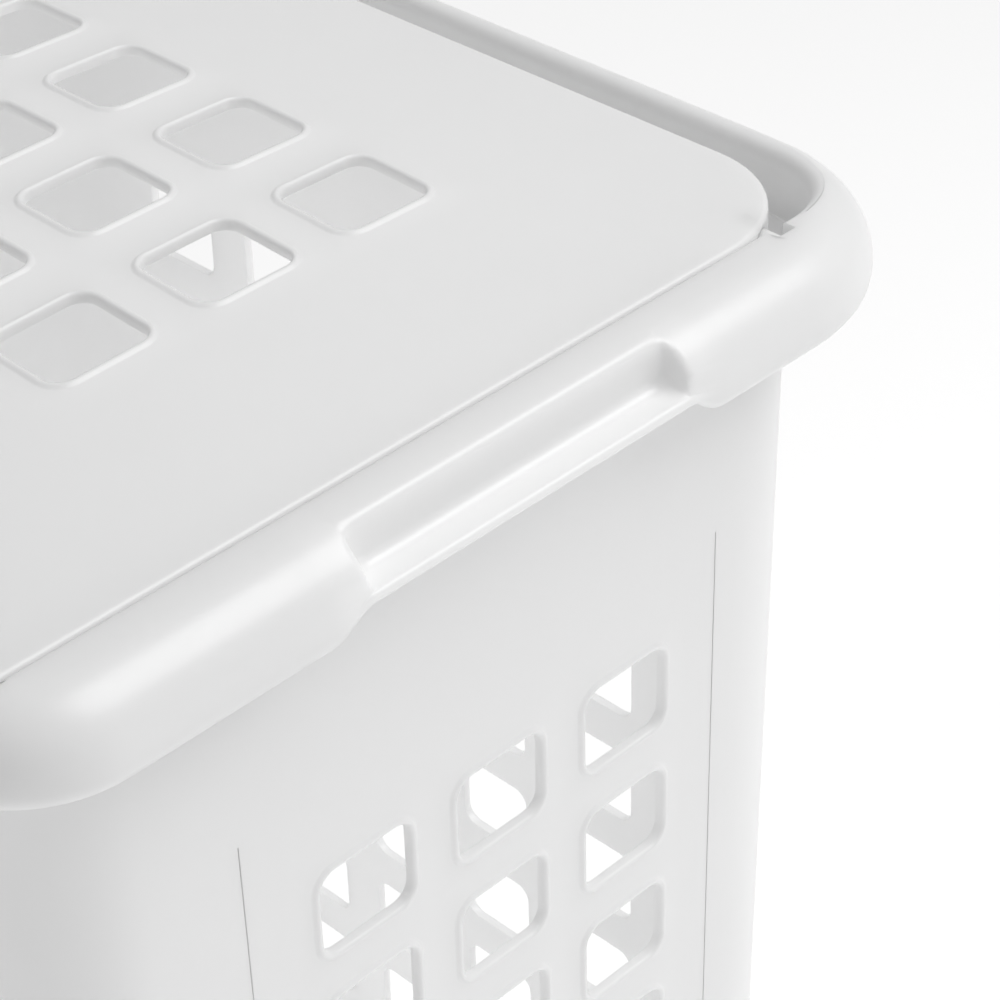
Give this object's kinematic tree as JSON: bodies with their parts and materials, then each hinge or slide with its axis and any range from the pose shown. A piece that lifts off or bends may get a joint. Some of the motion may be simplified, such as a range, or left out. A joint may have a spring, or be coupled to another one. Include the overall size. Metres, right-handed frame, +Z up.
{
  "type": "laundry hamper with hinged lid",
  "caption": "Tapered plastic laundry hamper with a perforated body, a bullnose rim with grip recesses and a perforated hinged lid.",
  "frame": {"origin": "on the floor under the middle of the hamper", "axes": "+Z up, -Y towards the lid's free edge (the front), +Y towards the hinge, the grip recesses are at -X and +X"},
  "size_m": [0.423, 0.3142, 0.6057],
  "materials": {
    "bin_plastic": "white moulded polypropylene, satin to semi-gloss",
    "lid_plastic": "white moulded polypropylene, satin to semi-gloss"
  },
  "bodies": {
    "bin": {"base_plate": "bin_plastic", "corner_post_back_left": "bin_plastic", "corner_post_back_right": "bin_plastic", "corner_post_front_left": "bin_plastic", "corner_post_front_right": "bin_plastic", "rim_back_channel": "bin_plastic", "rim_corner_back_left": "bin_plastic", "rim_corner_back_right": "bin_plastic", "rim_corner_front_left": "bin_plastic", "rim_corner_front_right": "bin_plastic", "rim_front": "bin_plastic", "rim_left_grip": "bin_plastic", "rim_right_grip": "bin_plastic", "wall_panel_back": "bin_plastic", "wall_panel_front": "bin_plastic", "wall_panel_left": "bin_plastic", "wall_panel_right": "bin_plastic"},
    "lid": {"lid": "lid_plastic"}
  },
  "joints": [
    {"name": "lid_hinge", "type": "hinge", "parent": "bin", "child": "lid", "pos_m": [0, 0.1096, 0.594], "axis": [-1, 0, 0], "range_deg": [0, 105]}
  ]
}
